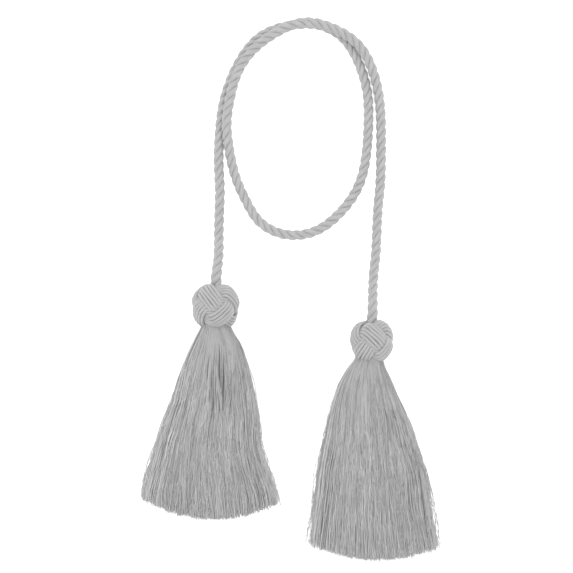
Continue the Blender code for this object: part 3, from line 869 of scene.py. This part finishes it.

# %% [markdown]
# Locks come in layers. The upper threads are what shows, so they have the most points and lie in close rows.
# A layer of loose threads crosses them, and the under threads fill the skirt below: thicker, fewer to a lock
# and painted a little darker, as painted shade for lying under the others. Under threads as fine as the upper
# ones would cost four times as many faces, and nobody would see them. A layer's levels are how high its locks
# lie, from 0 to 1, flat is the height of a lock's section as a share of its width, and the last number is the
# painted shade, how much darker its threads are painted.

# %% The layers
LAYER_FIELDS = "name levels locks threads points radius spreads flat wave drift sink shade"
Layer = namedtuple("Layer", LAYER_FIELDS)
UPPER = Layer(
    name="upper",
    levels=(0.96, 0.80),
    locks=25,
    threads=24,
    points=26,
    radius=0.21,
    spreads=(1.4, 1.3, 1.1, 2.4, 5.0),
    flat=0.30,
    wave=1.4,
    drift=0.05,
    sink=0.46,
    shade=0.0,
)
LOOSE = Layer(
    name="loose",
    levels=(0.98,),
    locks=26,
    threads=20,
    points=26,
    radius=0.19,
    spreads=(1.2, 1.1, 1.4, 3.6, 7.0),
    flat=0.14,
    wave=1.9,
    drift=0.14,
    sink=0.36,
    shade=0.0,
)
UNDER = Layer(
    name="under",
    levels=(0.64, 0.44, 0.24, 0.06),
    locks=24,
    threads=12,
    points=12,
    radius=0.25,
    spreads=(1.4, 1.2, 1.2, 1.8, 2.6),
    flat=0.5,
    wave=0.4,
    drift=0.035,
    sink=0.12,
    # painted shade: the under threads are painted this much darker, for the shade they lie in below the
    # others
    shade=0.08,
)
LAYERS = (UPPER, LOOSE, UNDER)
counts = [layer.locks * len(layer.levels) * layer.threads for layer in LAYERS]
print("threads in a skirt:", sum(counts))

# %% [markdown]
# Single threads also stray past the sides, as on any tassel that has been handled. Each follows the side of
# the skirt and leaves it for a stretch. They go through the same tree as the locks, as locks of one thread.

# %% Stray threads
STRAY_MIDDLE = (0.35, 1.0)  # how far down a thread strays furthest
STRAY_RUN = (0.08, 0.22)
STRAY_BULGE = (0.02, 0.12)
STRAY_SIDE = (0.93, 1.02)
STRAY = Layer(
    name="stray",
    levels=(0.5,),
    locks=150,
    threads=1,
    points=26,
    radius=0.17,
    spreads=(0.1, 0.1, 0.1, 0.1, 0.1),
    flat=1.0,
    wave=0.8,
    drift=0.0,
    sink=0.0,
    shade=0.0,
)


def strays(tassel, layer, rng):
    """Single threads that leave the skirt's sides for a stretch and lie on the table there."""
    along = np.linspace(0.0, 1.0, layer.points)
    spread = np.interp(along, SPREAD_PLACES, layer.spreads)
    lines = []
    for _ in range(layer.locks):
        side = rng.choice((-1.0, 1.0))
        middle = rng.uniform(*STRAY_MIDDLE)
        run = rng.uniform(*STRAY_RUN)
        bulge = side * rng.uniform(*STRAY_BULGE) * np.exp(-(((along - middle) / run) ** 2))
        across = side * rng.uniform(*STRAY_SIDE)
        lines.append(lock_line(tassel, across, layer.levels[0], bulge, layer.sink, 0.0) * MM)
    return curve_object("strays", lines, [spread * MM] * len(lines))


print("stray threads in a skirt:", STRAY.locks)

# %% [markdown]
# Hair curves could draw the threads, but they leave no mesh that another program can open. So a tree copies
# each lock once for every thread, cuts the copies to uneven lengths and sweeps them. It needs numbers that
# are random but stay the same all along a thread, which is what this first part makes.

# %% The tree that spreads locks into threads: its inputs
FIBRE_START = 3.0  # the threads start at places up to this far along the filaments' noise

thready, thready_in, thready_out = new_tree(
    "GeometryNodeTree",
    "tassel_threads",
    [
        ("Geometry", "NodeSocketGeometry", None),
        ("Threads in a lock", "NodeSocketInt", 20),
        ("Thread radius", "NodeSocketFloat", 0.18 * MM),
        ("Flatness", "NodeSocketFloat", 0.6),
        ("Wave height", "NodeSocketFloat", 0.6 * MM),
        ("Wave length", "NodeSocketFloat", 16.0 * MM),
        ("Uneven cut", "NodeSocketFloat", 0.01),
        # painted shade: the dark tone that every thread fades to near the knot
        ("Root painted shade", "NodeSocketFloat", 0.1),
        # painted shade: how much darker all of a layer's threads are painted
        ("Shade", "NodeSocketFloat", 0.0),
        ("Seed", "NodeSocketInt", 1),
        ("Material", "NodeSocketMaterial", None),
    ],
    [("Geometry", "NodeSocketGeometry")],
)


def per_thread(low, high, salt, kind="FLOAT"):
    """A random value that is the same all along a thread. Each salt gives another one. The node's sockets for
    plain numbers share their names with others, so they go by number."""
    seed = maths(thready, "ADD", thready_in["Seed"], float(salt))
    lowest, highest, out = ("Min", "Max", 0) if kind == "FLOAT_VECTOR" else (2, 3, 1)
    settings = {lowest: low, highest: high, "Seed": seed}
    value = add(thready, "FunctionNodeRandomValue", settings, data_type=kind).outputs[out]
    return add(thready, "GeometryNodeFieldOnDomain", {0: value}, domain="CURVE", data_type=kind).outputs[0]


settings = {"Geometry": thready_in["Geometry"], "Amount": thready_in["Threads in a lock"]}
threads = add(thready, "GeometryNodeDuplicateElements", settings, domain="SPLINE")
uneven = maths(thready, "SQRT", per_thread(0.0, 1.0, 1))
cut = maths(thready, "SUBTRACT", 1.0, maths(thready, "MULTIPLY", uneven, thready_in["Uneven cut"]))
settings = {"Curve": threads.outputs["Geometry"], "End": cut}
trimmed = add(thready, "GeometryNodeTrimCurve", settings, mode="FACTOR").outputs[0]
factor = add(thready, "GeometryNodeSplineParameter").outputs["Factor"]
print("tree:", thready.name, len(thready.nodes), "nodes so far")

# %% [markdown]
# Each thread goes from one random place in the lock's round section at the knot to another at the hem. So
# the threads of a lock cross one another on the way, as real ones do, and don't lie side by side like
# combed hair. The lock's radius is how far its threads spread. Noise that is different for each thread
# gives it small waves, which start at nothing by the knot, where the threads are bound tight.

# %% The tree for threads: where each thread lies
# the painted shade near the knot fades out over the same stretch
ROOT_FADE = 2.4  # threads are bound and alike at the knot, and quite free 1 / 2.4 of the way down
NOISE_PLACES = (60.0, 60.0, 60.0)  # how far each way a thread's own place in the noise may be
NOISE_MIDDLE = (0.5, 0.5, 0.5)
SIDEWAYS = (1.0, 0.0, 1.0)  # waves go sideways and up, and not along the thread


def place_in_lock(salt):
    """A random place in the lock's section, as a share of its radius."""
    angle = per_thread(0.0, TURN, salt)
    out = maths(thready, "SQRT", per_thread(0.0, 1.0, salt + 1))
    aside = maths(thready, "MULTIPLY", maths(thready, "COSINE", angle), out)
    upwards = maths(thready, "MULTIPLY", out, thready_in["Flatness"])
    rise = maths(thready, "MULTIPLY", maths(thready, "SINE", angle), upwards)
    return add(thready, "ShaderNodeCombineXYZ", {"X": aside, "Z": rise}).outputs[0]


def mixed(kind, first_socket, share, first, second):
    """One value at share 0, the other at 1. A mix node's sockets share their names, so they go by number."""
    settings = {0: share, first_socket: first, first_socket + 1: second}
    return add(thready, "ShaderNodeMix", settings, data_type=kind)


in_lock = mixed("VECTOR", 4, factor, place_in_lock(2), place_in_lock(7)).outputs[1]
in_lock = scaled(thready, in_lock, add(thready, "GeometryNodeInputRadius").outputs[0])
where = add(thready, "GeometryNodeInputPosition").outputs[0]
wave_place = scaled(thready, where, maths(thready, "DIVIDE", 1.0, thready_in["Wave length"]))
own = per_thread(tuple(-reach for reach in NOISE_PLACES), NOISE_PLACES, 4, "FLOAT_VECTOR")
settings = {"Vector": vectors(thready, "ADD", wave_place, own), "Scale": 1.0, "Detail": 1.0}
noise = add(thready, "ShaderNodeTexNoise", settings).outputs["Color"]
free = maths(thready, "MINIMUM", maths(thready, "MULTIPLY", factor, ROOT_FADE), 1.0)
full = maths(thready, "MULTIPLY", thready_in["Wave height"], 2.0)  # the noise goes half as far each way
centred = vectors(thready, "SUBTRACT", noise, NOISE_MIDDLE)
wave = scaled(thready, centred, maths(thready, "MULTIPLY", full, free))
moved = vectors(thready, "ADD", in_lock, vectors(thready, "MULTIPLY", wave, SIDEWAYS))
moved = add(thready, "ShaderNodeSeparateXYZ", {0: vectors(thready, "ADD", where, moved)}).outputs
on_table = maths(thready, "MAXIMUM", moved["Z"], thready_in["Thread radius"])
resting = add(thready, "ShaderNodeCombineXYZ", {"X": moved["X"], "Y": moved["Y"], "Z": on_table}).outputs[0]
settings = {"Geometry": trimmed, "Position": resting}
placed = add(thready, "GeometryNodeSetPosition", settings).outputs[0]
print("tree:", thready.name, len(thready.nodes), "nodes so far")

# %% [markdown]
# Each thread gets a tone of its own, which its material reads. Near the knot all of them fade to one dark
# tone, because hard tones would look like stripes where the threads lie so close; the dark is painted shade
# for the knot's shadow on the packed neck. A layer's painted shade then darkens all its threads, and is added
# back at the knot, so that all are alike there. Each thread is then a tube of only three sides, because there
# are thousands, and smooth shading hides the corners.

# %% The tree for threads: tones and tubes
near_root = maths(thready, "SUBTRACT", 1.0, free)
tone = mixed("FLOAT", 2, near_root, per_thread(0.0, 1.0, 5), thready_in["Root painted shade"]).outputs[0]
# painted shade: the layer's painted shade darkens each of its threads
tone = maths(thready, "SUBTRACT", tone, thready_in["Shade"])
even = add(thready, "GeometryNodeSetCurveRadius", {"Curve": placed, "Radius": 1.0}).outputs[0]
toned = stored(thready, even, "thread_tone", tone, "FLOAT")
start = maths(thready, "MULTIPLY", per_thread(0.0, 1.0, 6), FIBRE_START)
run_along = maths(thready, "ADD", add(thready, "GeometryNodeSplineParameter").outputs["Length"], start)
measured = stored(thready, toned, "along", run_along, "FLOAT")
settings = {"Resolution": 3, "Radius": thready_in["Thread radius"]}
triangle = add(thready, "GeometryNodeCurvePrimitiveCircle", settings).outputs["Curve"]
fibres = swept(thready, measured, with_place_around(thready, triangle), thready_in["Material"])
thready.links.new(fibres, thready_out.inputs[0])
print("tree:", thready.name, len(thready.nodes), "nodes")

# %% [markdown]
# Now the layers of both skirts are grown, each as one mesh with its own seed. The skirts are made of the
# same thread in the same way, so one loop does all of them and only the tassel's measures differ.

# %% The skirts
THREAD_WAVE = 24.0
UNEVEN_CUT = 0.032  # the most by which a thread is shorter than its lock, as a share
# painted shade: near the knot the threads fade to this dark tone, for the knot's shadow on the neck
ROOT_PAINTED_SHADE = 0.06

for number, tassel in enumerate(TASSELS):
    for layer_number, layer in enumerate((*LAYERS, STRAY)):
        rng = np.random.default_rng(SEED + 10 * number + layer_number)
        make = strays if layer is STRAY else locks
        thread_settings = {
            "Threads in a lock": layer.threads,
            "Thread radius": layer.radius * MM,
            "Flatness": layer.flat,
            "Wave height": layer.wave * MM,
            "Wave length": THREAD_WAVE * MM,
            "Uneven cut": UNEVEN_CUT,
            # the layer's painted shade is added back at the root, so that all layers fade to the same painted
            # shade there
            "Root painted shade": ROOT_PAINTED_SHADE + layer.shade,
            "Shade": layer.shade,
            "Seed": 100 * number + 10 * layer_number,  # far enough apart for all the salts
            "Material": skirt_material,
        }
        name = f"tassel_{tassel.side}_{layer.name}_threads"
        skirt = grow(name, make(tassel, layer, rng), thready, thread_settings)
        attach(skirt, "root")
        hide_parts(f"skirt_{tassel.side}")
